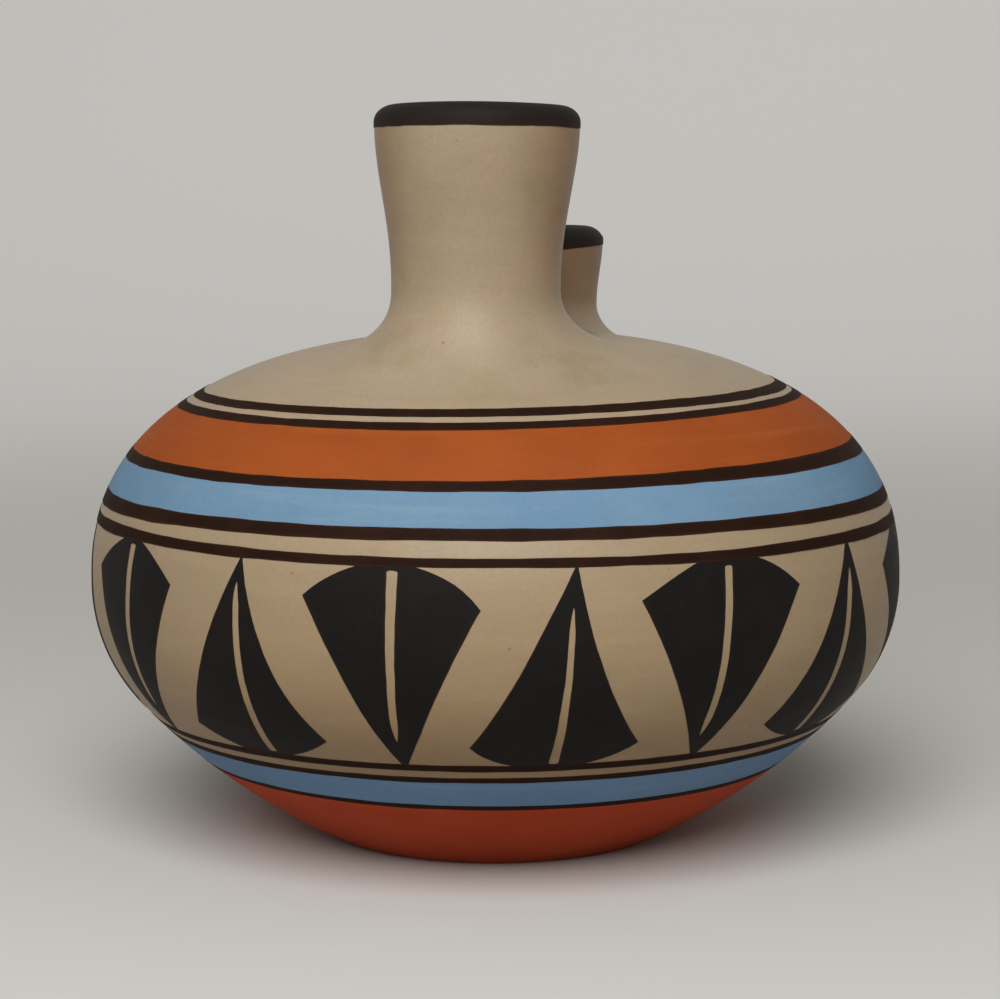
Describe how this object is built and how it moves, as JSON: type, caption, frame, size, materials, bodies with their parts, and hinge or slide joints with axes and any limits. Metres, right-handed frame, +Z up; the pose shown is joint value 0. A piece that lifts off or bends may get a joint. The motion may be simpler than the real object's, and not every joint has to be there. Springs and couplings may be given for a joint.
{
  "type": "double spout vase",
  "caption": "Round-bellied clay vase with a tall and a short upright spout on its shoulder, painted with slip bands and a feather frieze; holds stems or pours.",
  "frame": {"origin": "centre of the flat foot, on the surface that the vase stands on", "axes": "+Z up along the pot's axis; the tall spout is towards -Y and the short spout towards +Y"},
  "size_m": [0.2006, 0.2006, 0.1791],
  "materials": {
    "clay": "matte tan fired clay with a fine grain",
    "black_slip": "matte black slip",
    "orange_slip": "matte burnt orange slip",
    "blue_slip": "matte pale blue slip",
    "terracotta_slip": "matte terracotta slip"
  },
  "bodies": {
    "root": {"pot_bowl": "clay", "pot_dome": "clay", "tall_spout": "clay", "short_spout": "clay", "tall_spout_coil": "clay", "short_spout_coil": "clay", "tall_lip_slip": "black_slip", "short_lip_slip": "black_slip", "shoulder_line_upper": "black_slip", "shoulder_line_lower": "black_slip", "shoulder_orange_band": "orange_slip", "orange_blue_line": "black_slip", "shoulder_blue_band": "blue_slip", "shoulder_blue_line": "black_slip", "frieze_top_line": "black_slip", "rising_feathers": "black_slip", "hanging_feathers": "black_slip", "frieze_bottom_line": "black_slip", "lower_line": "black_slip", "lower_blue_band": "blue_slip", "lower_blue_line": "black_slip", "base_coat": "terracotta_slip"}
  },
  "joints": []
}
